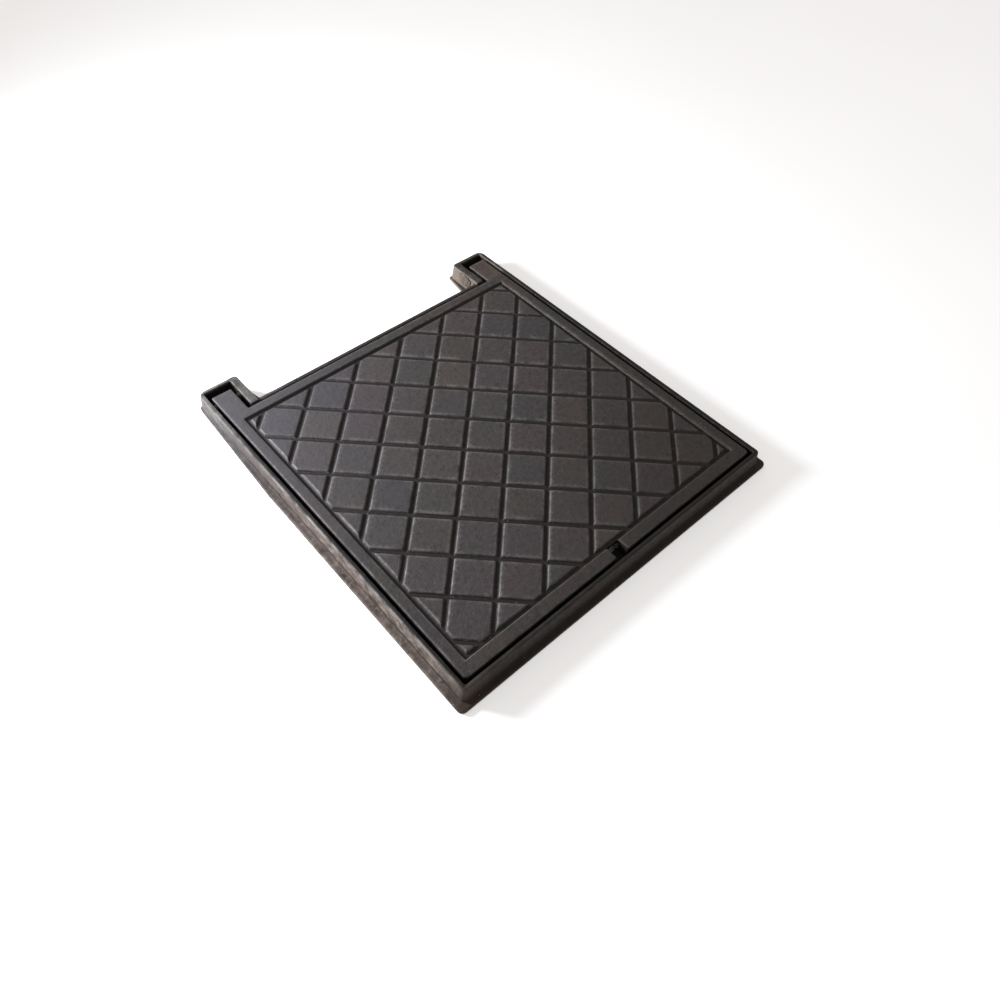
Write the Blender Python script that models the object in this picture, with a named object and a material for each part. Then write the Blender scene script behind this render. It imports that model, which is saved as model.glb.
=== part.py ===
"""Square hinged manhole cover: a cast-iron lid with a diagonal anti-slip tread, in a cast-iron frame.

X runs across the cover, +Y points to the hinge side and +Z up. Z = 0 is the bedding face of the frame,
and the origin lies at the middle of the cover's footprint, ears included.
"""

import math

import bmesh
import bpy
from mathutils import Matrix, Vector

MM = 0.001

# Lid
LID_SIDE = 383.0 * MM
LID_CORNER_R = 4.0 * MM
PLATE_T = 8.0 * MM
SKIRT_W = 9.0 * MM
RIB_W = 7.0 * MM
RIB_DROP = 3.0 * MM
CELLS = 3
CELL_DRAFT = 1.5 * MM

# Tread: square studs on their corners, inside one plain border strip
STUD_PITCH = 43.3 * MM
STUD_ROOT = 0.5 * MM
GROOVE_W = 5.0 * MM
GROOVE_DEPTH = 2.5 * MM
GROOVE_DRAFT = 0.6 * MM
BORDER_W = 11.2 * MM
FRONT_EXTRA = 2.0 * MM

# Lifting slot: it cuts the front border strip and runs into the ring groove
SLOT_W = 16.0 * MM
SLOT_RUN = 1.0 * MM

# Frame
FRAME_H = 22.5 * MM
RIM_T = 4.9 * MM
FRONT_WALL_EXTRA = 1.2 * MM
LID_GAP = 3.6 * MM
SEAT_LAP = 11.5 * MM
SEAT_T = 6.5 * MM
WALL_DRAFT = 2.5 * MM
FOOT_OVERHANG = 9.5 * MM
FOOT_T = 4.0 * MM
FOOT_CORNER_R = 6.0 * MM
FOOT_TAPER = 155.0 * MM
FRAME_CORNER_R = 4.0 * MM
REAR_DROP = 3.0 * MM
EDGE_ROUND = 0.9 * MM

# Hinge ears of the frame and tongues of the lid
EAR_LENGTH = 43.8 * MM
EAR_W = 46.0 * MM
EAR_CHEEK_T = 9.2 * MM
EAR_END_T = 4.1 * MM
EAR_TOE = 0.8 * MM
EAR_CORNER_R = 8.0 * MM
TONGUE_W = 23.0 * MM
TONGUE_LENGTH = 36.8 * MM
TONGUE_LAP = 14.0 * MM
PIN_R = 5.0 * MM
PIN_DROP = 8.0 * MM
PIN_TO_TIP = 9.2 * MM
PIN_SOCKET = 3.0 * MM
PIN_RECESS = 0.5 * MM
PIN_CHAMFER = 0.8 * MM
OPEN_ANGLE = math.radians(105.0)

# Clearances
FIT = 0.3 * MM
CUT = 5.0 * MM
# How far inside a corner's round its upright edge may lie
CORNER_REACH = 1.0 * MM
ARC_STEPS = 32

# Sizes that follow from the ones above
CLEAR_OPENING = LID_SIDE - 2 * SEAT_LAP
LID_HALF = LID_SIDE / 2
WELL_HALF = LID_HALF + LID_GAP
WALL_HALF = WELL_HALF + RIM_T
# The front border strip is wider than the other three, and the well and wall go forward with it.
LID_FRONT = LID_HALF + FRONT_EXTRA
WELL_FRONT = WELL_HALF + FRONT_EXTRA
WALL_FRONT = WALL_HALF + FRONT_WALL_EXTRA
FOOT_HALF = WALL_HALF + FOOT_OVERHANG
EAR_REAR = WALL_HALF + EAR_LENGTH
EAR_INNER = WALL_HALF - EAR_W
POCKET_REAR = EAR_REAR - EAR_END_T
POCKET_INNER = EAR_INNER + EAR_CHEEK_T
TOE_REAR = EAR_REAR + WALL_DRAFT + EAR_TOE
LID_BOTTOM = SEAT_T + FIT
TONGUE_TIP = LID_HALF + TONGUE_LENGTH
TONGUE_INNER = LID_HALF - TONGUE_W
AXIS_Y = TONGUE_TIP - PIN_TO_TIP
AXIS_Z = FRAME_H - PIN_DROP
TREAD_HALF = LID_HALF - BORDER_W
# Enough rows, on the diagonal, to fill the tread to its corners, with one stud at its centre
STUD_ROWS = 2 * math.ceil(TREAD_HALF * math.sqrt(2) / STUD_PITCH) + 1
# The tip's upper corner swings down on to the pocket floor, which stops the lid at OPEN_ANGLE.
TIP_REACH = math.hypot(PIN_TO_TIP, PIN_DROP)
TIP_ANGLE = math.atan2(PIN_DROP, PIN_TO_TIP)
POCKET_FLOOR = AXIS_Z - TIP_REACH * math.sin(OPEN_ANGLE - TIP_ANGLE) - FIT
# The footprint runs from the front foot to the toes of the ears: this centres it on the origin.
LID_Y = (FOOT_HALF - TOE_REAR) / 2


def clear_scene():
    for item in list(bpy.data.objects):
        bpy.data.objects.remove(item)


def material(name, colour, roughness, metallic):
    made = bpy.data.materials.new(name)
    made.use_nodes = True
    shader = made.node_tree.nodes["Principled BSDF"]
    shader.inputs["Base Color"].default_value = (*colour, 1.0)
    shader.inputs["Roughness"].default_value = roughness
    shader.inputs["Metallic"].default_value = metallic
    return made


def add_object(name, mesh, place):
    """Makes an object of a bmesh and puts it at a place."""
    bmesh.ops.recalc_face_normals(mesh, faces=mesh.faces)
    data = bpy.data.meshes.new(name)
    mesh.to_mesh(data)
    mesh.free()
    made = bpy.data.objects.new(name, data)
    made.location = place
    bpy.context.scene.collection.objects.link(made)
    return made


def hide_helper(helper):
    helper.hide_render = True
    helper.display_type = "WIRE"


def boolean(body, helper, operation):
    hide_helper(helper)
    modifier = body.modifiers.new(f"{operation.lower()} {helper.name}", "BOOLEAN")
    modifier.operation = operation
    modifier.object = helper


def loft(lower, upper, low_z, high_z):
    """A bmesh between two plan outlines with as many points each."""
    mesh = bmesh.new()
    base = [mesh.verts.new((x, y, low_z)) for x, y in lower]
    top = [mesh.verts.new((x, y, high_z)) for x, y in upper]
    mesh.faces.new(base)
    mesh.faces.new(top)
    for here in range(len(base)):
        after = (here + 1) % len(base)
        mesh.faces.new((base[here], base[after], top[after], top[here]))
    bmesh.ops.recalc_face_normals(mesh, faces=mesh.faces)
    return mesh


def is_upright(edge):
    return abs(edge.verts[0].co.z - edge.verts[1].co.z) > 1e-6


def round_uprights(mesh, radius, segments=4, wanted=None):
    """Rounds the corners that a plan outline has, or those of them that are wanted."""
    uprights = [e for e in mesh.edges if is_upright(e) and (wanted is None or wanted(e))]
    bmesh.ops.bevel(mesh, geom=uprights, offset=radius, segments=segments, profile=0.5, affect="EDGES")


def round_rim(mesh, height, radius, segments=2):
    """Rounds every edge that lies at one height."""
    rim = [e for e in mesh.edges if all(abs(v.co.z - height) < 1e-6 for v in e.verts)]
    bmesh.ops.bevel(mesh, geom=rim, offset=radius, segments=segments, profile=0.5, affect="EDGES")


def square(half):
    return [(-half, -half), (half, -half), (half, half), (-half, half)]


def rectangle(x_from, x_to, y_from, y_to):
    return [(x_from, y_from), (x_to, y_from), (x_to, y_to), (x_from, y_to)]


def at_ear_corner(edge):
    """Whether an upright edge is at the outer rear corner of an ear."""
    middle = (edge.verts[0].co + edge.verts[1].co) / 2
    beyond = EAR_CORNER_R + CORNER_REACH
    return middle.y > EAR_REAR - beyond and abs(middle.x) > WALL_HALF - beyond


def eared(half, front, tip, inner):
    """A square whose rear corners reach back as two ears: the plan of the frame's wall and of its well."""
    right = [(half, -front), (half, tip), (inner, tip), (inner, half)]
    return right + [(-x, y) for x, y in reversed(right)]


def foot_plan():
    """The frame's foot. Its sides narrow towards the rear, down to a toe at each ear's end."""
    toe = WALL_DRAFT + EAR_TOE
    right = [
        (FOOT_HALF, -FOOT_HALF),
        (FOOT_HALF, TOE_REAR - FOOT_TAPER),
        (WALL_HALF + toe, TOE_REAR),
        (EAR_INNER - toe, TOE_REAR),
        (EAR_INNER - FOOT_OVERHANG, WALL_HALF + FOOT_OVERHANG),
    ]
    return right + [(-x, y) for x, y in reversed(right)]


def bar(name, radius, x_from, x_to, chamfer, place):
    """A round bar along X."""
    mesh = bmesh.new()
    turn = Matrix.Rotation(math.pi / 2, 4, "Y")
    shift = Matrix.Translation(((x_from + x_to) / 2, 0, 0))
    bmesh.ops.create_cone(
        mesh,
        cap_ends=True,
        segments=ARC_STEPS,
        radius1=radius,
        radius2=radius,
        depth=x_to - x_from,
        matrix=shift @ turn,
    )
    if chamfer:
        ends = [e for e in mesh.edges if abs(e.verts[0].co.x - e.verts[1].co.x) < 1e-7]
        bmesh.ops.bevel(mesh, geom=ends, offset=chamfer, segments=1, affect="EDGES")
    return add_object(name, mesh, place)


def make_frame(iron):
    """One casting: wall with foot and seat, and two ears that hold the hinge pins."""
    wall = eared(WALL_HALF, WALL_FRONT, EAR_REAR, EAR_INNER)
    low_half = WALL_HALF + WALL_DRAFT
    low_front = WALL_FRONT + WALL_DRAFT
    spread = eared(low_half, low_front, EAR_REAR + WALL_DRAFT, EAR_INNER - WALL_DRAFT)
    mesh = loft(spread, wall, 0, FRAME_H)
    round_uprights(mesh, EAR_CORNER_R, 5, at_ear_corner)
    round_uprights(mesh, FRAME_CORNER_R, 4, lambda edge: not at_ear_corner(edge))
    round_rim(mesh, FRAME_H, EDGE_ROUND)
    centre = Vector((0, LID_Y, 0))
    frame = add_object("frame", mesh, centre)
    frame.data.materials.append(iron)

    foot = loft(foot_plan(), foot_plan(), 0, FOOT_T)
    round_uprights(foot, FOOT_CORNER_R, 5, lambda edge: edge.verts[0].co.y < 0)
    round_uprights(foot, EAR_CORNER_R, 5, at_ear_corner)
    round_rim(foot, FOOT_T, EDGE_ROUND)
    boolean(frame, add_object("frame_foot", foot, centre), "UNION")

    well = eared(WELL_HALF, WELL_FRONT, POCKET_REAR, POCKET_INNER)
    above = FRAME_H + CUT
    well_mesh = loft(well, well, SEAT_T, above)
    round_uprights(well_mesh, FRAME_CORNER_R / 2)
    boolean(frame, add_object("frame_well", well_mesh, centre), "DIFFERENCE")

    opening = loft(square(CLEAR_OPENING / 2), square(CLEAR_OPENING / 2), -CUT, above)
    round_uprights(opening, FRAME_CORNER_R)
    boolean(frame, add_object("frame_opening", opening, centre), "DIFFERENCE")

    step = rectangle(-EAR_INNER, EAR_INNER, WELL_HALF - CUT, WALL_HALF + CUT)
    step_mesh = loft(step, step, FRAME_H - REAR_DROP, above)
    boolean(frame, add_object("frame_rear_step", step_mesh, centre), "DIFFERENCE")

    for side, sign in (("left", -1), ("right", 1)):
        limits = sorted((sign * POCKET_INNER, sign * WELL_HALF))
        pocket = rectangle(*limits, WELL_HALF, POCKET_REAR)
        pocket_mesh = loft(pocket, pocket, POCKET_FLOOR, SEAT_T + CUT)
        round_uprights(pocket_mesh, FRAME_CORNER_R / 2)
        boolean(frame, add_object(f"frame_pocket_{side}", pocket_mesh, centre), "DIFFERENCE")
        ends = sorted((sign * (EAR_INNER - WALL_DRAFT - CUT), sign * (WELL_HALF + PIN_SOCKET)))
        axis = Vector((0, LID_Y + AXIS_Y, AXIS_Z))
        bore = bar(f"frame_bore_{side}", PIN_R + FIT, *ends, 0, axis)
        boolean(frame, bore, "DIFFERENCE")
    return frame


def tongue(name, sign, axis):
    """Side outline with a round knuckle under the tip, drawn out to the tongue's width."""
    steps = ARC_STEPS // 4
    top = PIN_DROP
    bottom = LID_BOTTOM - AXIS_Z
    root = LID_HALF - TONGUE_LAP - AXIS_Y
    sweep = math.asin(-bottom / PIN_TO_TIP)
    arc = [
        (PIN_TO_TIP * math.cos(sweep * i / steps), -PIN_TO_TIP * math.sin(sweep * i / steps))
        for i in range(steps + 1)
    ]
    outline = [(root, bottom), (root, top), (PIN_TO_TIP, top)] + arc
    mesh = bmesh.new()
    limits = sorted((sign * TONGUE_INNER, sign * LID_HALF))
    sides = [[mesh.verts.new((x, y, z)) for y, z in outline] for x in limits]
    mesh.faces.new(sides[0])
    mesh.faces.new(sides[1])
    for here in range(len(outline)):
        after = (here + 1) % len(outline)
        mesh.faces.new((sides[0][here], sides[0][after], sides[1][after], sides[1][here]))
    bmesh.ops.recalc_face_normals(mesh, faces=mesh.faces)
    round_rim(mesh, top, EDGE_ROUND)
    return add_object(name, mesh, axis)


def array(body, count, step_x, step_y):
    modifier = body.modifiers.new("array", "ARRAY")
    modifier.count = count
    modifier.use_relative_offset = False
    modifier.use_constant_offset = True
    modifier.constant_offset_displace = (step_x, step_y, 0)


def make_studs(axis):
    """Rows of drafted studs, trimmed all round by the ring groove inside the border strip."""
    floor = FRAME_H - GROOVE_DEPTH
    wide = (STUD_PITCH - GROOVE_W) / 2 + GROOVE_DRAFT
    narrow = (STUD_PITCH - GROOVE_W) / 2
    reach = STUD_PITCH * (STUD_ROWS - 1) / 2
    low = floor - STUD_ROOT
    spread = wide + GROOVE_DRAFT * STUD_ROOT / GROOVE_DEPTH
    if spread >= STUD_PITCH / 2:
        raise ValueError("GROOVE_DRAFT is too large for GROOVE_W: neighbouring studs would merge")
    mesh = loft(square(spread), square(narrow), low - AXIS_Z, FRAME_H - AXIS_Z)
    bmesh.ops.translate(mesh, verts=mesh.verts, vec=(-reach, -reach, 0))
    studs = add_object("lid_studs", mesh, axis + Vector((0, -AXIS_Y, 0)))
    studs.rotation_euler.z = math.radians(45)
    array(studs, STUD_ROWS, STUD_PITCH, 0)
    array(studs, STUD_ROWS, 0, STUD_PITCH)
    inside = TREAD_HALF - GROOVE_W
    slope = GROOVE_DRAFT / GROOVE_DEPTH
    trim_low = floor - CUT
    trim_high = FRAME_H + CUT
    trim_spread = inside + slope * (FRAME_H - trim_low)
    trim_narrow = inside - slope * CUT
    trim = loft(square(trim_spread), square(trim_narrow), trim_low - AXIS_Z, trim_high - AXIS_Z)
    boolean(studs, add_object("lid_studs_trim", trim, axis + Vector((0, -AXIS_Y, 0))), "INTERSECT")
    return studs


def make_lid(iron):
    """One casting: ribbed plate with a skirt, a studded top and two hinge tongues."""
    axis = Vector((0, LID_Y + AXIS_Y, AXIS_Z))
    middle = axis + Vector((0, -AXIS_Y, 0))
    top = FRAME_H - AXIS_Z
    bottom = LID_BOTTOM - AXIS_Z
    block = rectangle(-LID_HALF, LID_HALF, -LID_FRONT, LID_HALF)
    mesh = loft(block, block, bottom, top)
    round_uprights(mesh, LID_CORNER_R)
    round_rim(mesh, top, EDGE_ROUND)
    bmesh.ops.translate(mesh, verts=mesh.verts, vec=(0, -AXIS_Y, 0))
    lid = add_object("lid", mesh, axis)
    lid.data.materials.append(iron)
    boolean(lid, tongue("lid_tongue_left", -1, axis), "UNION")
    boolean(lid, tongue("lid_tongue_right", 1, axis), "UNION")

    hollow = LID_SIDE - 2 * SKIRT_W
    cell = (hollow - (CELLS - 1) * RIB_W) / CELLS
    step = cell + RIB_W
    under = top - PLATE_T
    roof = square(cell / 2 - CELL_DRAFT)
    cells = loft(square(cell / 2), roof, bottom - CUT, under)
    round_uprights(cells, LID_CORNER_R)
    bmesh.ops.translate(cells, verts=cells.verts, vec=(-step, -step, 0))
    hollows = add_object("lid_cells", cells, middle)
    array(hollows, CELLS, step, 0)
    array(hollows, CELLS, 0, step)
    boolean(lid, hollows, "DIFFERENCE")
    rib_gap = hollow / 2 - SKIRT_W
    shave = loft(square(rib_gap), square(rib_gap), bottom - CUT, bottom + RIB_DROP)
    boolean(lid, add_object("lid_rib_shave", shave, middle), "DIFFERENCE")

    floor = top - GROOVE_DEPTH
    rise = GROOVE_DRAFT * CUT / GROOVE_DEPTH
    tread = loft(square(TREAD_HALF - GROOVE_DRAFT), square(TREAD_HALF + rise), floor, top + CUT)
    boolean(lid, add_object("lid_tread", tread, middle), "DIFFERENCE")
    boolean(lid, make_studs(axis), "UNION")

    slot = rectangle(-SLOT_W / 2, SLOT_W / 2, -LID_FRONT - CUT, SLOT_RUN - TREAD_HALF)
    slot_mesh = loft(slot, slot, bottom - CUT, top + CUT)
    boolean(lid, add_object("lid_slot", slot_mesh, middle), "DIFFERENCE")
    reach = LID_HALF + CUT
    boolean(lid, bar("lid_bore", PIN_R + FIT, -reach, reach, 0, axis), "DIFFERENCE")
    return lid


def make_pin(name, sign, steel):
    ends = sorted((sign * (EAR_INNER + PIN_RECESS), sign * (WELL_HALF + PIN_SOCKET - FIT)))
    pin = bar(name, PIN_R, *ends, PIN_CHAMFER, Vector((0, LID_Y + AXIS_Y, AXIS_Z)))
    pin.data.materials.append(steel)
    pin.data.shade_smooth()
    pin.data.set_sharp_from_angle(angle=math.radians(30))


clear_scene()
IRON = material("cast_iron", (0.075, 0.072, 0.070), 0.62, 0.35)
STEEL = material("pin_steel", (0.20, 0.18, 0.16), 0.45, 0.9)
make_frame(IRON)
make_lid(IRON)
make_pin("hinge_pin_left", -1, STEEL)
make_pin("hinge_pin_right", 1, STEEL)
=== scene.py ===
"""Hinged cast-iron manhole cover: the frame, the lid with its studded tread, and the two hinge pins.

The file follows the cover as it is put together. All sizes are in metres.
"""

import math

import bmesh
import bpy
from mathutils import Matrix, Vector, noise


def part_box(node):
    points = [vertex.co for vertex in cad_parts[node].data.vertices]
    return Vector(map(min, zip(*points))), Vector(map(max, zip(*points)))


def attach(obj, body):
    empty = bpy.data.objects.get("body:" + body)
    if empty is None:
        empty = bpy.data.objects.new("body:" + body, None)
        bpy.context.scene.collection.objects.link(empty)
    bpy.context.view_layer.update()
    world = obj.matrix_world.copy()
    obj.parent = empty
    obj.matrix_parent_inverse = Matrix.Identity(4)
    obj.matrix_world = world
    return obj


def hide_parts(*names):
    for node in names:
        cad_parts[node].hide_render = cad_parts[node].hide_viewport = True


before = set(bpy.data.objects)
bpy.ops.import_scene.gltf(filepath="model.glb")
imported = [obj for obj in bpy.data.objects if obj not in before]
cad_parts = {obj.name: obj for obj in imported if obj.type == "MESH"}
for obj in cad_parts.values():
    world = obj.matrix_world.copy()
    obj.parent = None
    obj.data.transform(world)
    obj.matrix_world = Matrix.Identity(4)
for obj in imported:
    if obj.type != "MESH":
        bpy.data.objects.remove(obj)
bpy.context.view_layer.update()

# ---------------------------------------------------------------------------------------------------
# Frame casting.
# Grey iron poured in a sand mould: a drafted wall on a thin foot, a seat for the lid and two hinge ears.
# Its left wall is dusty with earth and the inner half of the rim is darkened. Its left edges are light,
# partly rubbed by handling and partly a painted highlight; painted shade darkens its front and right sides.
# ---------------------------------------------------------------------------------------------------
FRAME_ARRIS = 0.0006
FRAME_CELL = 0.0050
FRAME_WAVE = 0.00022
CELL_OFFSET = 0.37
WELD = 1e-5
FLAT_TURN = math.radians(0.5)
SHARP_TURN = math.radians(50)
SMOOTH_TURN = math.radians(38)
CONVEX_TURN = 0.12
SHEEN = 0.30
IRON_METAL = 0.15
WALL_HALF = 0.2000
WALL_FRONT = 0.2012
WELL_INNER = 0.1965
WELL_FRONT_EXTRA = 0.0024
EAR_POCKET = (0.1580, 0.1965, 0.2418)
EAR_START = 0.190
FOOT_TOP = 0.0040
LID_FRONT_TO_MIDDLE = 0.1935

RIM_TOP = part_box("frame")[1].z
FRAME_MIDDLE_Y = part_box("lid")[0].y + LID_FRONT_TO_MIDDLE


def settle(maker):
    """Turns what an object's modifiers make into its own plain mesh."""
    bpy.context.view_layer.update()
    graph = bpy.context.evaluated_depsgraph_get()
    shape = bpy.data.meshes.new_from_object(maker.evaluated_get(graph))
    maker.modifiers.clear()
    maker.data = shape
    return maker


def casting_of(node, name):
    """A welded copy of a casting's shape, as its own object."""
    mesh = bmesh.new()
    mesh.from_mesh(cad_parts[node].data)
    bmesh.ops.remove_doubles(mesh, verts=mesh.verts, dist=WELD)
    bmesh.ops.dissolve_limit(mesh, angle_limit=FLAT_TURN, verts=mesh.verts, edges=mesh.edges)
    data = bpy.data.meshes.new(name)
    mesh.to_mesh(data)
    mesh.free()
    data.materials.clear()
    made = bpy.data.objects.new(name, data)
    bpy.context.scene.collection.objects.link(made)
    return made


def soften(piece, arris, segments):
    """Rounds the edges that the mould left square."""
    bevel = piece.modifiers.new("arris", "BEVEL")
    bevel.width = arris
    bevel.segments = segments
    bevel.limit_method = "ANGLE"
    bevel.angle_limit = SHARP_TURN
    bevel.use_clamp_overlap = False
    return settle(piece)


def rub_edges(mesh):
    """Marks the outer edges, where handling has rubbed the skin off the iron; on the frame they also carry
    a painted highlight.
    """
    layer = mesh.verts.layers.float.new("edge_wear")
    for edge in mesh.edges:
        if len(edge.link_faces) != 2:
            continue
        turn = edge.calc_face_angle_signed(0)
        if turn > CONVEX_TURN:
            for vert in edge.verts:
                vert[layer] = 1.0


def sand_cast(piece, cell, wave, seed):
    """Cuts the faces into small cells and gives them the slight waviness of a sand mould."""
    mesh = bmesh.new()
    mesh.from_mesh(piece.data)
    low = [min(v.co[i] for v in mesh.verts) for i in range(2)]
    high = [max(v.co[i] for v in mesh.verts) for i in range(2)]
    for axis in range(2):
        normal = Vector((axis == 0, axis == 1, 0))
        for step in range(1, int((high[axis] - low[axis]) / cell) + 1):
            place = Vector((0, 0, 0))
            place[axis] = low[axis] + step * cell - cell * CELL_OFFSET
            everything = mesh.verts[:] + mesh.edges[:] + mesh.faces[:]
            bmesh.ops.bisect_plane(
                mesh, geom=everything, dist=1e-6, plane_co=place, plane_no=normal
            )
    mesh.normal_update()
    rub_edges(mesh)
    for vert in mesh.verts:
        at = vert.co * 26 + Vector((seed, 0, 0))
        fine = vert.co * 95 + Vector((0, seed, 0))
        swell = 0.5 + 0.35 * noise.noise(at) + 0.15 * noise.noise(fine)
        vert.co -= vert.normal * wave * swell
    bmesh.ops.triangulate(mesh, faces=mesh.faces)
    mesh.to_mesh(piece.data)
    mesh.free()
    piece.data.polygons.foreach_set("use_smooth", [True] * len(piece.data.polygons))
    piece.data.set_sharp_from_angle(angle=SMOOTH_TURN)
    return piece


def in_the_well(place):
    """Whether a point of the frame is inside the well or an ear's pocket, where shade is painted in."""
    x = abs(place.x)
    y = place.y - FRAME_MIDDLE_Y
    well = x < WELL_INNER and -WELL_INNER - WELL_FRONT_EXTRA < y < WELL_INNER
    pocket = EAR_POCKET[0] < x < EAR_POCKET[1] and 0 < y < EAR_POCKET[2]
    return well or pocket


def mark(piece, name, test):
    """Gives each point of a piece a 1 or a 0, for its finish to read."""
    layer = piece.data.attributes.new(name, "FLOAT", "POINT")
    layer.data.foreach_set("value", [float(test(v.co)) for v in piece.data.vertices])


class Skin:
    """The node tree of one iron finish, built up a layer at a time."""

    def __init__(self, name):
        self.material = bpy.data.materials.new(name)
        self.material.use_nodes = True
        self.tree = self.material.node_tree
        self.shader = self.tree.nodes["Principled BSDF"]
        self.places = self.node("ShaderNodeTexCoord")

    def node(self, kind, **settings):
        made = self.tree.nodes.new(kind)
        for key, value in settings.items():
            setattr(made, key, value)
        return made

    def put(self, value, socket):
        if isinstance(value, bpy.types.NodeSocket):
            self.tree.links.new(value, socket)
        else:
            socket.default_value = value

    def grain(self, scale, detail=4.0, rough=0.55, seed=0.0):
        made = self.node("ShaderNodeTexNoise", noise_dimensions="4D")
        self.put(self.places.outputs["Object"], made.inputs["Vector"])
        self.put(seed, made.inputs["W"])
        self.put(scale, made.inputs["Scale"])
        self.put(detail, made.inputs["Detail"])
        self.put(rough, made.inputs["Roughness"])
        return made.outputs["Fac"]

    def ramp(self, value, start, end, to_start=0.0, to_end=1.0):
        made = self.node("ShaderNodeMapRange", interpolation_type="SMOOTHSTEP")
        for socket, number in zip(range(5), (value, start, end, to_start, to_end)):
            self.put(number, made.inputs[socket])
        return made.outputs["Result"]

    def worked(self, kind, first, second=0.0):
        made = self.node("ShaderNodeMath", operation=kind)
        self.put(first, made.inputs[0])
        self.put(second, made.inputs[1])
        return made.outputs[0]

    def times(self, first, *others):
        for other in others:
            first = self.worked("MULTIPLY", first, other)
        return first

    def most(self, first, second):
        return self.worked("MAXIMUM", first, second)

    def size_of(self, value):
        return self.worked("ABSOLUTE", value)

    def blend(self, amount, first, second):
        made = self.node("ShaderNodeMix", data_type="RGBA", blend_type="MIX")
        self.put(amount, made.inputs["Factor"])
        self.put(first, made.inputs[6])
        self.put(second, made.inputs[7])
        return made.outputs[2]

    def tints(self, value, stops):
        made = self.node("ShaderNodeValToRGB")
        band = made.color_ramp
        while len(band.elements) < len(stops):
            band.elements.new(0.5)
        for element, (at, colour) in zip(band.elements, stops):
            element.position = at
            element.color = (*colour, 1)
        self.put(value, made.inputs[0])
        return made.outputs["Color"]

    def axis(self, output, index):
        made = self.node("ShaderNodeSeparateXYZ")
        self.put(self.places.outputs[output], made.inputs[0])
        return made.outputs[index]

    def marked(self, name):
        return self.node("ShaderNodeAttribute", attribute_name=name).outputs["Fac"]

    def flecks(self, scale, size, share):
        """Few small round spots, as of grit and lime."""
        made = self.node("ShaderNodeTexVoronoi")
        self.put(self.places.outputs["Object"], made.inputs["Vector"])
        self.put(scale, made.inputs["Scale"])
        pick = self.node("ShaderNodeSeparateColor")
        self.put(made.outputs["Color"], pick.inputs[0])
        chosen = self.worked("LESS_THAN", pick.outputs[0], share)
        near = self.ramp(made.outputs["Distance"], size, size * 0.4)
        return self.times(chosen, near)

    def relief(self, layers):
        last = None
        for height, depth in layers:
            made = self.node("ShaderNodeBump")
            self.put(depth, made.inputs["Distance"])
            self.put(height, made.inputs["Height"])
            if last:
                self.put(last, made.inputs["Normal"])
            last = made.outputs["Normal"]
        self.put(last, self.shader.inputs["Normal"])

    def finish(self, colour, roughness, metal):
        self.put(colour, self.shader.inputs["Base Color"])
        self.put(roughness, self.shader.inputs["Roughness"])
        self.put(metal, self.shader.inputs["Metallic"])
        self.shader.inputs["Specular IOR Level"].default_value = SHEEN
        return self.material


IRON_TINTS = (
    (0.30, (0.033, 0.031, 0.036)),
    (0.41, (0.043, 0.034, 0.034)),
    (0.50, (0.035, 0.033, 0.030)),
    (0.60, (0.046, 0.037, 0.032)),
    (0.72, (0.034, 0.030, 0.034)),
)
EARTH = (0.108, 0.082, 0.066, 1)
PALE_EARTH = (0.225, 0.184, 0.156, 1)
LIME = (0.34, 0.32, 0.29, 1)
BARE_AND_HIGHLIGHT = (0.210, 0.195, 0.182, 1)
SOIL_AND_SHADE = (0.0075, 0.0062, 0.0052, 1)
GREY_ASH = (0.092, 0.090, 0.088, 1)
RUST_AND_SHADE_BROWN = (0.024, 0.017, 0.013, 1)
SMOKE_GREY = (0.022, 0.0185, 0.0185, 1)
CROWN_DARK = (0.0105, 0.0090, 0.0075, 1)
CORNER_RUST = (0.042, 0.029, 0.021, 1)
BUFF_ASH = (0.100, 0.092, 0.082, 1)
CAKED_EARTH = (0.150, 0.122, 0.094, 1)


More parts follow.
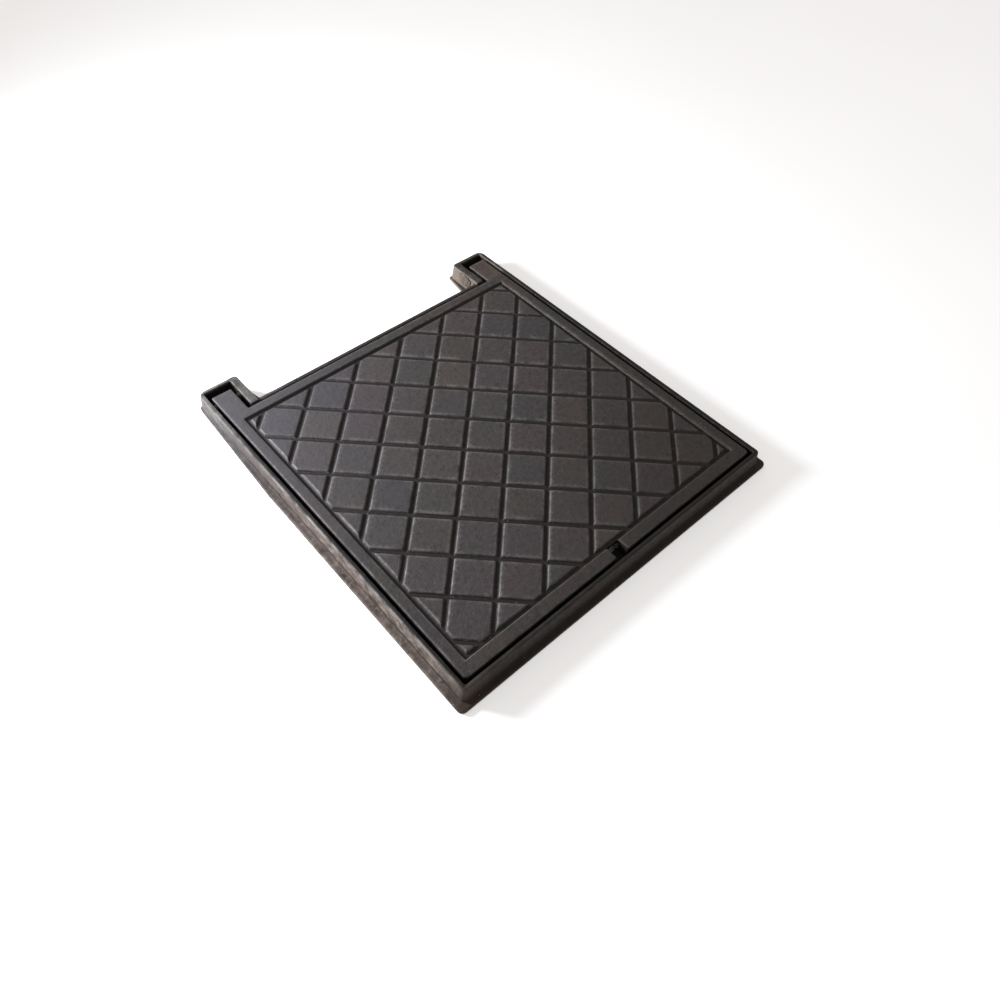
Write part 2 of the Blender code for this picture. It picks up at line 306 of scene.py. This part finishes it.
def frame_iron():
    """Grey iron, dusty with earth on the left, with painted shade inside and in red-brown along the front
    and right.
    """
    skin = Skin("frame_iron")
    mottle = skin.grain(150, 6, 0.62, seed=2)
    coarse = skin.grain(42, 5, 0.66, seed=4)
    grain = skin.grain(1100, 3, seed=3)
    x, y, z = (skin.axis("Object", i) for i in range(3))
    front_line = FRAME_MIDDLE_Y - WALL_FRONT
    colour = skin.tints(skin.grain(12, 3, seed=1), IRON_TINTS)

    # Where on the frame: its back, its left, right and front sides, and the ears.
    back = skin.ramp(y, FRAME_MIDDLE_Y + 0.10, FRAME_MIDDLE_Y + 0.20)
    left = skin.ramp(x, -WALL_HALF + 0.0012, -WALL_HALF - 0.0004)
    right = skin.ramp(x, WALL_HALF - 0.0012, WALL_HALF + 0.0004)
    front = skin.ramp(y, front_line + 0.0012, front_line - 0.0004)
    ears = skin.ramp(y, FRAME_MIDDLE_Y + EAR_START, FRAME_MIDDLE_Y + EAR_START + 0.010)

    # Dust and stains on the left wall, darker toward the ear.
    colour = skin.blend(skin.times(left, 0.88), colour, EARTH)
    pale = skin.times(left, skin.ramp(mottle, 0.46, 0.64, 0.0, 0.75))
    colour = skin.blend(pale, colour, PALE_EARTH)
    blotches = skin.ramp(skin.grain(75, 5, 0.7, seed=7), 0.50, 0.36, 0.0, 0.85)
    colour = skin.blend(skin.times(left, blotches), colour, RUST_AND_SHADE_BROWN)
    rearward = skin.ramp(y, FRAME_MIDDLE_Y - 0.06, FRAME_MIDDLE_Y + 0.22, 0.0, 0.93)
    colour = skin.blend(skin.times(left, rearward), colour, SMOKE_GREY)

    # Painted shade in the crease above the foot, and painted shade in red-brown on the front and right
    # sides.
    above_foot = skin.ramp(z, FOOT_TOP + 0.0042, FOOT_TOP + 0.0012)
    off_foot = skin.ramp(z, FOOT_TOP - 0.0004, FOOT_TOP + 0.0004)
    # Painted shade: the crease above the foot is darkened.
    colour = skin.blend(skin.times(above_foot, off_foot, 0.75), colour, SOIL_AND_SHADE)
    # Painted shade: the front and right sides, turned away from the lamp, are darkened in red-brown.
    shaded_sides = skin.most(front, skin.times(right, 0.7))
    colour = skin.blend(skin.times(shaded_sides, 0.88), colour, RUST_AND_SHADE_BROWN)

    # The crown of the rim darkened, most toward the front, and rust on its front left corner.
    crown = skin.ramp(z, RIM_TOP - 0.0020, RIM_TOP - 0.0012)
    crown_darkening = skin.times(crown, skin.ramp(back, 0.0, 1.0, 0.95, 0.35))
    colour = skin.blend(crown_darkening, colour, CROWN_DARK)
    corner = skin.times(
        skin.ramp(x, -0.165, -0.195), skin.ramp(y, FRAME_MIDDLE_Y - 0.165, FRAME_MIDDLE_Y - 0.198)
    )
    colour = skin.blend(skin.times(corner, 0.72), colour, CORNER_RUST)

    # Grey ash at the back left, buff ash on the ears, and earth on the right ear's cheek.
    ash_left = skin.times(back, skin.ramp(x, -0.10, -0.15))
    ash_left = skin.times(ash_left, skin.ramp(left, 0.0, 1.0, 1.0, 0.30))
    ash_patches = skin.ramp(skin.grain(90, 6, 0.7, seed=5), 0.40, 0.58, 0.04, 0.88)
    colour = skin.blend(skin.times(ash_left, ash_patches), colour, GREY_ASH)
    buff_patches = skin.ramp(skin.grain(90, 6, 0.7, seed=6), 0.42, 0.66, 0.0, 0.60)
    colour = skin.blend(skin.times(ears, buff_patches), colour, BUFF_ASH)
    facing_left = skin.ramp(skin.axis("Normal", 0), -0.35, -0.80)
    caked = skin.times(facing_left, ears, skin.ramp(x, 0.10, 0.15, 0.0, 0.75))
    colour = skin.blend(caked, colour, CAKED_EARTH)

    # Light edges, partly rubbed bare and partly a painted highlight on the side toward the lamp: most on
    # the left, fading toward the ears, hardly any along the front.
    handled_and_lit = skin.most(skin.ramp(x, 0.0, -0.15, 0.12, 0.80), skin.times(ears, 0.5))
    rubbed = skin.worked("POWER", skin.marked("edge_wear"), 3)
    rubbed = skin.times(rubbed, skin.ramp(coarse, 0.40, 0.58, 0.10, 1.0))
    rubbed = skin.times(rubbed, skin.ramp(z, RIM_TOP - 0.0040, RIM_TOP - 0.0016, 0.20, 1.0))
    rubbed = skin.times(rubbed, skin.ramp(y, FRAME_MIDDLE_Y + 0.02, FRAME_MIDDLE_Y + 0.16, 1.0, 0.35))
    rubbed = skin.times(rubbed, skin.ramp(y, front_line + 0.022, front_line + 0.004, 1.0, 0.12))
    # Partly wear, partly painted highlight: lighter iron on the edges, most on the lamp's side.
    colour = skin.blend(skin.times(rubbed, handled_and_lit), colour, BARE_AND_HIGHLIGHT)

    # The rim's inner half darkened, most at the front, painted shade in the well and the ears' pockets,
    # then a few flecks of lime.
    from_middle = skin.size_of(skin.worked("SUBTRACT", y, FRAME_MIDDLE_Y))
    inward = skin.most(skin.size_of(x), from_middle)
    inner_rim_dark = skin.times(
        skin.ramp(inward, WALL_HALF - 0.0012, WALL_HALF - 0.0028), skin.ramp(mottle, 0.36, 0.56, 0.55, 0.95)
    )
    colour = skin.blend(skin.times(inner_rim_dark, skin.ramp(back, 0.0, 1.0, 1.0, 0.35)), colour, SOIL_AND_SHADE)
    # Painted shade: the well and the ears' pockets are darkened below the rim.
    deep = skin.times(skin.marked("recess_shade"), skin.ramp(z, RIM_TOP - 0.0008, RIM_TOP - 0.0040))
    colour = skin.blend(deep, colour, SOIL_AND_SHADE)
    colour = skin.blend(skin.times(skin.flecks(230, 0.17, 0.06), 0.5), colour, LIME)
    skin.relief(((coarse, 0.0010), (mottle, 0.00065), (grain, 0.00025)))
    return skin.finish(colour, skin.ramp(mottle, 0.3, 0.7, 0.55, 0.82), IRON_METAL)


frame_casting = casting_of("frame", "frame_casting")
soften(frame_casting, FRAME_ARRIS, 2)
sand_cast(frame_casting, FRAME_CELL, FRAME_WAVE, 3)
mark(frame_casting, "recess_shade", in_the_well)
frame_casting.data.materials.append(frame_iron())
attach(frame_casting, "frame")
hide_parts("frame")

# ---------------------------------------------------------------------------------------------------
# Caked earth.
# Dried mud on the right ear: over the end of the pin in its cheek, and down in its pocket beside the
# tongue. It clears the tongue, so it stays on the frame as the lid lifts.
# ---------------------------------------------------------------------------------------------------
PIN_Y = 0.2003
PIN_Z = 0.0145
CHEEK_FACE_X = 0.1531
CUSHION = 0.72
MOST_SWELL = 1.12
EARTH_TINTS = (
    (0.34, (0.038, 0.028, 0.021)),
    (0.50, (0.088, 0.070, 0.053)),
    (0.66, (0.160, 0.136, 0.110)),
)
# Name, middle, reach each way from it, how lumpy, and the seed of its lumps.
CLODS = (
    (
        "pin_earth_right",
        (CHEEK_FACE_X, PIN_Y - 0.0010, PIN_Z - 0.0005),
        (0.0016, 0.0105, 0.0072),
        0.26,
        9,
    ),
    ("pocket_earth_right", (0.16535, 0.1895, 0.0125), (0.0020, 0.0125, 0.0078), 0.20, 15),
)


def earth_clod(name, middle, reach, lumps, seed):
    """A lump of dried mud: a ball pressed to a cushion of the reach given, then roughened."""
    mesh = bmesh.new()
    bmesh.ops.create_icosphere(mesh, subdivisions=5, radius=1)
    for vert in mesh.verts:
        pressed = [math.copysign(abs(c) ** CUSHION, c) for c in vert.co]
        large = noise.noise(vert.co * 2.3 + Vector((seed, 0, 0)))
        small = noise.noise(vert.co * 7.0 + Vector((0, seed, 0)))
        swell = min(1 + lumps * (large + 0.45 * small), MOST_SWELL)
        vert.co = Vector(middle) + Vector([p * r for p, r in zip(pressed, reach)]) * swell
    data = bpy.data.meshes.new(name)
    mesh.to_mesh(data)
    mesh.free()
    data.polygons.foreach_set("use_smooth", [True] * len(data.polygons))
    made = bpy.data.objects.new(name, data)
    bpy.context.scene.collection.objects.link(made)
    return made


def dried_earth():
    """Tan mud, darker in its hollows, with soil-coloured crumbs and no shine."""
    skin = Skin("dried_earth")
    lumps = skin.grain(120, 6, 0.7, seed=21)
    crumbs = skin.grain(700, 4, 0.6, seed=22)
    colour = skin.tints(lumps, EARTH_TINTS)
    colour = skin.blend(skin.ramp(crumbs, 0.52, 0.64, 0.0, 0.5), colour, SOIL_AND_SHADE)
    skin.relief(((lumps, 0.0012), (crumbs, 0.00045)))
    return skin.finish(colour, skin.ramp(lumps, 0.3, 0.7, 0.85, 0.97), 0.0)


mud = dried_earth()
for name, middle, reach, lumps, seed in CLODS:
    clod = earth_clod(name, middle, reach, lumps, seed)
    clod.data.materials.append(mud)
    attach(clod, "frame")

# ---------------------------------------------------------------------------------------------------
# Lid plate.
# One iron casting with a skirt and ribs underneath and two hinge tongues behind. A plain strip runs
# round the edge, and inside it the plate is sunk to the floor of the grooves that part the studs.
# ---------------------------------------------------------------------------------------------------
LID_SIDE = 0.3830
FRONT_EXTRA = 0.0020
GROOVE_W = 0.0050
GROOVE_DEPTH = 0.0025
GROOVE_DRAFT = 0.0006
BORDER_W = 0.0112
LID_ARRIS = 0.0009
LID_CELL = 0.0045
LID_WAVE = 0.00024
LID_SEED = 11
TONGUE_REACH = 0.006
STUB = 0.00006
OLD_PAINT = (0.016, 0.015, 0.015, 1)
WORN_GREY = (0.088, 0.080, 0.078, 1)
FINE_GLINT = (0.098, 0.090, 0.088, 1)
BROWNED_IRON = (0.050, 0.036, 0.029, 1)
LAMP_SIDE_SHEEN_BLUE = (0.060, 0.061, 0.072, 1)
BARE_IRON = (0.30, 0.285, 0.27, 1)
FAR_SIDE_SHADE_BROWN = (0.022, 0.0175, 0.0145, 1)
TONGUE_MUD = (0.075, 0.060, 0.050, 1)

lid_low, lid_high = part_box("lid")
LID_TOP = lid_high.z
LID_MIDDLE_Y = lid_low.y + FRONT_EXTRA + LID_SIDE / 2
TREAD_HALF = LID_SIDE / 2 - BORDER_W
TONGUE_FOOT = LID_MIDDLE_Y + LID_SIDE / 2 - TONGUE_REACH


def sink_tread(plate):
    """Takes the studs off the plate, down to the floor of the grooves."""
    mesh = bmesh.new()
    half = TREAD_HALF - GROOVE_W / 2
    bottom = LID_TOP - GROOVE_DEPTH + STUB
    size = (2 * half, 2 * half, 2 * (LID_TOP - bottom), 1)
    matrix = Matrix.Translation((0, LID_MIDDLE_Y, LID_TOP)) @ Matrix.Diagonal(size)
    bmesh.ops.create_cube(mesh, size=1, matrix=matrix)
    data = bpy.data.meshes.new("tread_cutter")
    mesh.to_mesh(data)
    mesh.free()
    cutter = bpy.data.objects.new("tread_cutter", data)
    bpy.context.scene.collection.objects.link(cutter)
    cut = plate.modifiers.new("sink", "BOOLEAN")
    cut.operation = "DIFFERENCE"
    cut.solver = "EXACT"
    cut.object = cutter
    settle(plate)
    bpy.data.objects.remove(cutter)


def lid_iron(name, own_tone=None):
    """Dark iron skin with soil and painted shade on the groove floors, a painted sheen and shade across it,
    and a tone of its own for what is given one.
    """
    skin = Skin(name)
    colour = skin.tints(skin.grain(9, 3, seed=1.7), IRON_TINTS)
    mottle = skin.grain(190, 7, 0.68, seed=2)
    scuff = skin.grain(55, 6, 0.68, seed=14)
    grain = skin.grain(950, 4, 0.6, seed=3)
    x, y, z = (skin.axis("Object", i) for i in range(3))
    if own_tone:
        colour = skin.blend(0.60, colour, own_tone(skin))

    # Remains of paint, worn grey and brown patches, and the fine grain of the sand.
    colour = skin.blend(skin.ramp(mottle, 0.50, 0.66, 0.0, 0.55), colour, OLD_PAINT)
    colour = skin.blend(skin.ramp(mottle, 0.47, 0.33, 0.0, 0.40), colour, WORN_GREY)
    colour = skin.blend(skin.ramp(scuff, 0.55, 0.70, 0.0, 0.50), colour, BROWNED_IRON)
    colour = skin.blend(skin.ramp(grain, 0.54, 0.64, 0.0, 0.45), colour, FINE_GLINT)
    colour = skin.blend(skin.ramp(grain, 0.46, 0.36, 0.0, 0.55), colour, OLD_PAINT)

    # From the left ear's corner to the one across: a painted blue-grey sheen toward the lamp, edges worn
    # bare, then a painted brown shade away from it.
    slant = skin.worked("SUBTRACT", x, y)
    # Painted sheen: lighter blue-grey on the side toward the lamp.
    colour = skin.blend(skin.ramp(slant, -0.03, -0.34, 0.0, 0.42), colour, LAMP_SIDE_SHEEN_BLUE)
    rubbed = skin.worked("POWER", skin.marked("edge_wear"), 2)
    rubbed = skin.times(rubbed, skin.ramp(scuff, 0.40, 0.60, 0.0, 0.24))
    rubbed = skin.times(rubbed, skin.ramp(slant, -0.34, -0.06, 0.25, 1.0))
    colour = skin.blend(rubbed, colour, BARE_IRON)
    # Painted shade: darker brown toward the right front, away from the lamp.
    colour = skin.blend(skin.ramp(slant, 0.02, 0.34, 0.0, 0.55), colour, FAR_SIDE_SHADE_BROWN)

    # Mud on the right tongue, soil and painted shade on the groove floors, and flecks of lime.
    muddy = skin.times(skin.ramp(x, 0.13, 0.15), skin.ramp(y, TONGUE_FOOT, TONGUE_FOOT + 0.012))
    muddy = skin.times(muddy, skin.ramp(scuff, 0.38, 0.56, 0.25, 0.9))
    colour = skin.blend(muddy, colour, TONGUE_MUD)
    floor_line = LID_TOP - GROOVE_DEPTH
    soil_and_shade = skin.ramp(z, floor_line + 0.0006, floor_line + 0.00008, 0.0, 0.80)
    # Partly soil, partly painted shade: the groove floors are darkened.
    colour = skin.blend(soil_and_shade, colour, SOIL_AND_SHADE)
    colour = skin.blend(skin.times(skin.flecks(300, 0.16, 0.05), 0.5), colour, LIME)
    skin.relief(((scuff, 0.0007), (mottle, 0.00060), (grain, 0.00024)))
    metal = skin.worked("ADD", rubbed, IRON_METAL)
    return skin.finish(colour, skin.ramp(mottle, 0.3, 0.7, 0.46, 0.70), metal)


lid_plate = casting_of("lid", "lid_plate")
sink_tread(lid_plate)
soften(lid_plate, LID_ARRIS, 3)
sand_cast(lid_plate, LID_CELL, LID_WAVE, LID_SEED)
lid_plate.data.materials.append(lid_iron("lid_iron"))
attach(lid_plate, "lid")
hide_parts("lid")

# ---------------------------------------------------------------------------------------------------
# Tread studs.
# Square studs set on their corners, cast in one with the plate. Where they meet the plain strip they
# are cut off in line with it. Feet have rounded their upper edges, and no two are quite level.
# ---------------------------------------------------------------------------------------------------
STUD_PITCH = 0.0433
STUD_ROOT = 0.0005
STUD_ROUND = 0.0016
STUD_LEVELS = (-0.00044, -0.00020)
STUD_TILT = math.radians(0.18)
STUD_SEED = 5
TRIM_OVERRUN = 0.004
STUD_HUES = (
    (0.00, (0.047, 0.046, 0.053)),
    (0.25, (0.063, 0.049, 0.050)),
    (0.50, (0.050, 0.048, 0.043)),
    (0.75, (0.056, 0.049, 0.055)),
    (1.00, (0.070, 0.056, 0.048)),
)


def tone_of_each_stud(skin):
    """A tone of its own for each square of the diagonal grid."""
    place = skin.node("ShaderNodeMapping", vector_type="TEXTURE")
    skin.put(skin.places.outputs["Object"], place.inputs["Vector"])
    place.inputs["Location"].default_value = (0, LID_MIDDLE_Y, 0)
    place.inputs["Rotation"].default_value = (0, 0, math.radians(45))
    last = place.outputs[0]
    for kind, by in (
        ("MULTIPLY", (1 / STUD_PITCH, 1 / STUD_PITCH, 0)),
        ("ADD", (0.5, 0.5, 0.5)),
        ("FLOOR", None),
    ):
        step = skin.node("ShaderNodeVectorMath", operation=kind)
        skin.put(last, step.inputs[0])
        if by:
            step.inputs[1].default_value = by
        last = step.outputs[0]
    each = skin.node("ShaderNodeTexWhiteNoise", noise_dimensions="3D")
    skin.put(last, each.inputs["Vector"])
    return skin.tints(each.outputs["Value"], STUD_HUES)


def stud_maker():
    """A node tree that sets out drafted studs in a diagonal grid and trims them to the tread."""
    tree = bpy.data.node_groups.new("tread_studs", "GeometryNodeTree")
    face = tree.interface
    face.new_socket(name="Geometry", in_out="OUTPUT", socket_type="NodeSocketGeometry")
    sizes = {}
    for label, kind in (
        ("Pitch", "Float"),
        ("Groove Width", "Float"),
        ("Groove Depth", "Float"),
        ("Draft", "Float"),
        ("Root", "Float"),
        ("Tread Half", "Float"),
        ("Rows", "Int"),
        ("Lowest", "Float"),
        ("Highest", "Float"),
        ("Tilt", "Float"),
        ("Seed", "Int"),
        ("Place", "Vector"),
        ("Iron", "Material"),
    ):
        made = face.new_socket(name=label, in_out="INPUT", socket_type="NodeSocket" + kind)
        sizes[label] = made.identifier
    given = tree.nodes.new("NodeGroupInput").outputs

    def join(value, socket):
        if isinstance(value, bpy.types.NodeSocket):
            tree.links.new(value, socket)
        else:
            socket.default_value = value

    def sum_of(kind, first, second):
        made = tree.nodes.new("ShaderNodeMath")
        made.operation = kind
        join(first, made.inputs[0])
        join(second, made.inputs[1])
        return made.outputs[0]

    def vector(x, y, z):
        made = tree.nodes.new("ShaderNodeCombineXYZ")
        for socket, value in zip(made.inputs, (x, y, z)):
            join(value, socket)
        return made.outputs[0]

    def frustum(top_half, bottom_half, height):
        made = tree.nodes.new("GeometryNodeMeshCone")
        made.fill_type = "NGON"
        made.inputs["Vertices"].default_value = 4
        join(sum_of("MULTIPLY", top_half, math.sqrt(2)), made.inputs["Radius Top"])
        join(sum_of("MULTIPLY", bottom_half, math.sqrt(2)), made.inputs["Radius Bottom"])
        join(height, made.inputs["Depth"])
        return made.outputs["Mesh"]

    def moved(mesh, place, turn=0.0):
        made = tree.nodes.new("GeometryNodeTransform")
        join(mesh, made.inputs["Geometry"])
        join(place, made.inputs["Translation"])
        made.inputs["Rotation"].default_value = (0, 0, turn)
        return made.outputs[0]

    def chance(kind, low, high):
        made = tree.nodes.new("FunctionNodeRandomValue")
        made.data_type = kind
        start, end = (0, 1) if kind == "FLOAT_VECTOR" else (2, 3)
        join(low, made.inputs[start])
        join(high, made.inputs[end])
        join(given["Seed"], made.inputs["Seed"])
        return made.outputs[0 if kind == "FLOAT_VECTOR" else 1]

    slope = sum_of("DIVIDE", given["Draft"], given["Groove Depth"])
    height = sum_of("ADD", given["Groove Depth"], given["Root"])
    top_half = sum_of("MULTIPLY", sum_of("SUBTRACT", given["Pitch"], given["Groove Width"]), 0.5)
    bottom_half = sum_of("ADD", top_half, sum_of("MULTIPLY", slope, height))
    stud = frustum(top_half, bottom_half, height)

    grid = tree.nodes.new("GeometryNodeMeshGrid")
    span = sum_of("MULTIPLY", given["Pitch"], sum_of("SUBTRACT", given["Rows"], 1))
    for name in ("Size X", "Size Y"):
        join(span, grid.inputs[name])
    for name in ("Vertices X", "Vertices Y"):
        join(given["Rows"], grid.inputs[name])
    set_out = tree.nodes.new("GeometryNodeInstanceOnPoints")
    join(moved(grid.outputs["Mesh"], (0, 0, 0), math.radians(45)), set_out.inputs["Points"])
    join(stud, set_out.inputs["Instance"])
    lean = sum_of("MULTIPLY", given["Tilt"], -1)
    turn = chance("FLOAT_VECTOR", vector(lean, lean, 0), vector(given["Tilt"], given["Tilt"], 0))
    join(turn, set_out.inputs["Rotation"])
    settle_down = tree.nodes.new("GeometryNodeTranslateInstances")
    join(set_out.outputs[0], settle_down.inputs["Instances"])
    drop = chance("FLOAT", given["Lowest"], given["Highest"])
    join(vector(0, 0, drop), settle_down.inputs["Translation"])
    solid = tree.nodes.new("GeometryNodeRealizeInstances")
    join(settle_down.outputs[0], solid.inputs[0])

    tall = sum_of("ADD", height, 2 * TRIM_OVERRUN)
    inside = sum_of("SUBTRACT", given["Tread Half"], given["Groove Width"])
    wide = sum_of("ADD", inside, sum_of("MULTIPLY", slope, sum_of("ADD", height, TRIM_OVERRUN)))
    narrow = sum_of("SUBTRACT", inside, sum_of("MULTIPLY", slope, TRIM_OVERRUN))
    trim = moved(frustum(narrow, wide, tall), (0, 0, -TRIM_OVERRUN), math.radians(45))
    shared = tree.nodes.new("GeometryNodeMeshBoolean")
    shared.operation = "INTERSECT"
    shared.solver = "EXACT"
    join(solid.outputs[0], shared.inputs[1])
    join(trim, shared.inputs[1])

    real = tree.nodes.new("GeometryNodeRealizeInstances")
    join(moved(shared.outputs[0], given["Place"]), real.inputs[0])
    painted = tree.nodes.new("GeometryNodeSetMaterial")
    join(real.outputs[0], painted.inputs["Geometry"])
    join(given["Iron"], painted.inputs["Material"])
    join(painted.outputs[0], tree.nodes.new("NodeGroupOutput").inputs[0])
    return tree, sizes


stud_rows = 2 * math.ceil(TREAD_HALF * math.sqrt(2) / STUD_PITCH) + 1
lid_studs = bpy.data.objects.new("lid_studs", bpy.data.meshes.new("lid_studs"))
bpy.context.scene.collection.objects.link(lid_studs)
setting_out = lid_studs.modifiers.new("studs", "NODES")
stud_tree, stud_sizes = stud_maker()
setting_out.node_group = stud_tree
for label, value in (
    ("Pitch", STUD_PITCH),
    ("Groove Width", GROOVE_W),
    ("Groove Depth", GROOVE_DEPTH),
    ("Draft", GROOVE_DRAFT),
    ("Root", STUD_ROOT),
    ("Tread Half", TREAD_HALF),
    ("Rows", stud_rows),
    ("Lowest", STUD_LEVELS[0]),
    ("Highest", STUD_LEVELS[1]),
    ("Tilt", STUD_TILT),
    ("Seed", STUD_SEED),
    ("Place", (0, LID_MIDDLE_Y, LID_TOP - GROOVE_DEPTH - STUD_ROOT)),
    ("Iron", lid_iron("stud_iron", tone_of_each_stud)),
):
    setting_out[stud_sizes[label]] = value
settle(lid_studs)
soften(lid_studs, STUD_ROUND, 4)
sand_cast(lid_studs, LID_CELL, LID_WAVE, LID_SEED)
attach(lid_studs, "lid")

# ---------------------------------------------------------------------------------------------------
# Hinge pins.
# Two turned steel pins, driven through the ears' inner cheeks and the lid's tongues into the outer wall.
# They are rusted brown and greased with dirt.
# ---------------------------------------------------------------------------------------------------
PIN_METAL = 0.55
PIN_TINTS = (
    (0.35, (0.016, 0.013, 0.011)),
    (0.55, (0.034, 0.023, 0.016)),
    (0.70, (0.060, 0.052, 0.045)),
)


def pin_steel():
    """Dark steel with a bloom of rust, shinier where the bloom is thin."""
    skin = Skin("pin_steel")
    bloom = skin.grain(240, 5, 0.65, seed=8)
    colour = skin.tints(bloom, PIN_TINTS)
    skin.relief(((bloom, 0.00020), (skin.grain(1500, 3, seed=9), 0.00008)))
    return skin.finish(colour, skin.ramp(bloom, 0.3, 0.7, 0.75, 0.45), PIN_METAL)


pin_finish = pin_steel()
for side in ("left", "right"):
    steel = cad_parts["hinge_pin_" + side].data.materials
    steel.clear()
    steel.append(pin_finish)

# ---------------------------------------------------------------------------------------------------
# Studio.
# A plain pale floor that glows faintly, like a light table, except under the cover, with one soft lamp
# low at the rear left, a soft sky and the camera.
# ---------------------------------------------------------------------------------------------------
FLOOR_HALF = 6.0
DARK_HALF = (0.182, 0.190)
PAPER_TINTS = ((0.0, (0.86, 0.86, 0.86)), (1.0, (0.90, 0.90, 0.90)))
KEY_PLACE = (-0.566, 0.547, 0.345)
KEY_AIM = (0, 0, 0.02)
KEY_SIZE = 0.28
KEY_POWER = 17.6
KEY_COLOUR = (0.93, 0.94, 1.0)
SKY = 0.50
SKY_COLOUR = (1.0, 0.95, 0.915, 1)
GLOW = 0.45


def paper_floor():
    """Pale paper, the same all over, whose glow stops inside the frame's clear opening."""
    skin = Skin("paper_floor")
    bright = skin.tints(skin.grain(3, 2, seed=12), PAPER_TINTS)
    wide = skin.size_of(skin.axis("Object", 0))
    deep = skin.size_of(skin.worked("SUBTRACT", skin.axis("Object", 1), FRAME_MIDDLE_Y))
    outside = skin.ramp(skin.most(wide, deep), *DARK_HALF)
    skin.put(bright, skin.shader.inputs["Emission Color"])
    skin.put(skin.times(outside, GLOW), skin.shader.inputs["Emission Strength"])
    return skin.finish(bright, 0.9, 0.0)


sheet = bmesh.new()
bmesh.ops.create_grid(sheet, x_segments=2, y_segments=2, size=FLOOR_HALF)
floor_mesh = bpy.data.meshes.new("floor")
sheet.to_mesh(floor_mesh)
sheet.free()
floor = bpy.data.objects.new("floor", floor_mesh)
floor_mesh.materials.append(paper_floor())
bpy.context.scene.collection.objects.link(floor)


def lamp(name, place, aim, size, power):
    """A round soft lamp that points at the place given and isn't seen itself."""
    light = bpy.data.lights.new(name, "AREA")
    light.shape = "DISK"
    light.size = size
    light.energy = power
    light.color = KEY_COLOUR
    made = bpy.data.objects.new(name, light)
    made.location = place
    made.rotation_euler = (Vector(aim) - Vector(place)).to_track_quat("-Z", "Y").to_euler()
    made.visible_camera = False
    bpy.context.scene.collection.objects.link(made)


lamp("key", KEY_PLACE, KEY_AIM, KEY_SIZE, KEY_POWER)

world = bpy.data.worlds.new("studio")
world.use_nodes = True
world.node_tree.nodes["Background"].inputs["Color"].default_value = SKY_COLOUR
world.node_tree.nodes["Background"].inputs["Strength"].default_value = SKY
bpy.context.scene.world = world
bpy.context.scene.view_settings.view_transform = "Standard"

EYE = Vector((-0.35513, -0.41568, 0.61844))
LOOK = Vector((0.41399942, 0.43445842, -0.79990647)).normalized()
ROLL = math.radians(2.5656)
SENSOR_WIDTH = 36.0
LENS_LENGTH = 27.498
level = LOOK.cross(Vector((0, 0, 1))).normalized()
rise = level.cross(LOOK)
across = level * math.cos(ROLL) + rise * math.sin(ROLL)
upward = across.cross(LOOK)
lens = bpy.data.cameras.new("camera")
lens.sensor_width = SENSOR_WIDTH
lens.lens = LENS_LENGTH
camera = bpy.data.objects.new("camera", lens)
turned = Matrix((across, upward, -LOOK)).transposed().to_4x4()
camera.matrix_world = Matrix.Translation(EYE) @ turned
bpy.context.scene.collection.objects.link(camera)
bpy.context.scene.camera = camera
